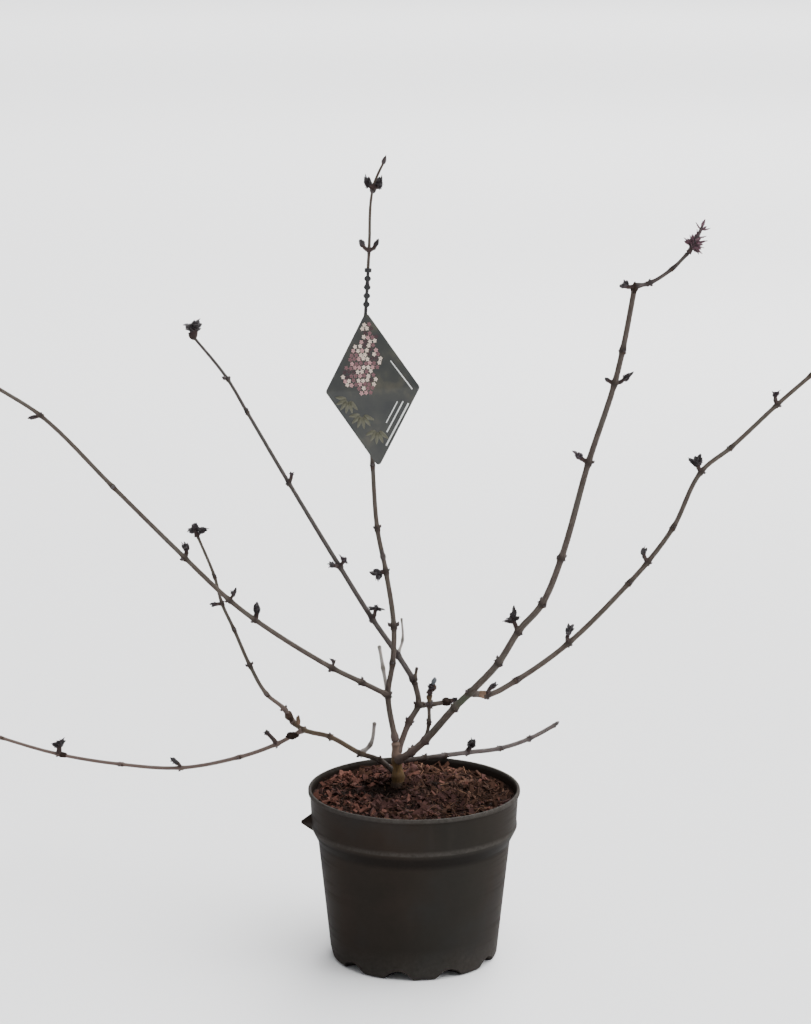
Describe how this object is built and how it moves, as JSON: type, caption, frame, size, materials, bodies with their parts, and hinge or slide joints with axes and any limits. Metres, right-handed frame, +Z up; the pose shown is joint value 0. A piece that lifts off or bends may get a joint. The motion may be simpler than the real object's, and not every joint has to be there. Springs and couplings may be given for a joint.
{
  "type": "potted gerda black elder",
  "caption": "Young many-stemmed elder shrub, nearly bare, with small tufts of opening dark leaves, standing in a tapered nursery pot of bark compost with a blank hang tag.",
  "frame": {"origin": "centre of the pot's flat underside, at the level that it stands on", "axes": "+Z up, -Y the side that the picture shows, +X to its right"},
  "size_m": [0.8604, 0.585, 0.7128],
  "materials": {
    "pot_plastic": "satin black-brown moulded polypropylene, scuffed",
    "compost": "moist bark and fibre compost",
    "stem_bark": "olive-brown young bark with lenticels",
    "cane_bark": "grey-brown ripened cane bark with lenticels and node ridges",
    "grey_bark": "dry silvery dead wood",
    "tuft_leaf": "purple-black young leaves, faint sheen",
    "tag_card": "thin printed plastic label, satin"
  },
  "bodies": {
    "root": {"centre_stem": "cane_bark", "compost": "compost", "cross_twig": "cane_bark", "crown": "stem_bark", "far_right_cane": "cane_bark", "fork_spur": "grey_bark", "hang_tag": "tag_card", "inner_spur": "cane_bark", "inner_stem": "cane_bark", "long_left_cane": "cane_bark", "low_left_base": "cane_bark", "low_left_cane": "cane_bark", "low_right_cane": "cane_bark", "old_snag": "grey_bark", "pale_twig": "grey_bark", "pot": "pot_plastic", "right_cane": "cane_bark", "right_shoot": "cane_bark", "rising_left_cane": "cane_bark", "tuft_cross_twig_end": "tuft_leaf", "tuft_far_right_bud": "tuft_leaf", "tuft_far_right_end": "tuft_leaf", "tuft_far_right_high": "tuft_leaf", "tuft_far_right_low": "tuft_leaf", "tuft_far_right_spear": "tuft_leaf", "tuft_far_right_star": "tuft_leaf", "tuft_leader_arm_left": "tuft_leaf", "tuft_leader_arm_right": "tuft_leaf", "tuft_leader_left": "tuft_leaf", "tuft_leader_low": "tuft_leaf", "tuft_leader_right": "tuft_leaf", "tuft_long_left_bud": "tuft_leaf", "tuft_long_left_cross": "tuft_leaf", "tuft_long_left_end": "tuft_leaf", "tuft_long_left_fork": "tuft_leaf", "tuft_long_left_low": "tuft_leaf", "tuft_long_left_upright": "tuft_leaf", "tuft_low_left_end": "tuft_leaf", "tuft_low_left_stalk": "tuft_leaf", "tuft_low_left_tuft": "tuft_leaf", "tuft_low_left_wedge": "tuft_leaf", "tuft_low_right_spear": "tuft_leaf", "tuft_right_arm": "tuft_leaf", "tuft_right_bud": "tuft_leaf", "tuft_right_shoot_end": "tuft_leaf", "tuft_right_side": "tuft_leaf", "tuft_right_star": "tuft_leaf", "tuft_right_top": "tuft_leaf", "tuft_rising_left_bud": "tuft_leaf", "tuft_rising_left_end": "tuft_leaf", "tuft_upper_left_back": "tuft_leaf", "tuft_upper_left_end": "tuft_leaf", "tuft_upper_left_fork": "tuft_leaf", "tuft_upper_left_high": "tuft_leaf", "tuft_upper_left_up": "tuft_leaf", "tuft_upright_twig_end": "tuft_leaf", "upper_left_cane": "cane_bark", "upright_twig": "cane_bark"}
  },
  "joints": []
}
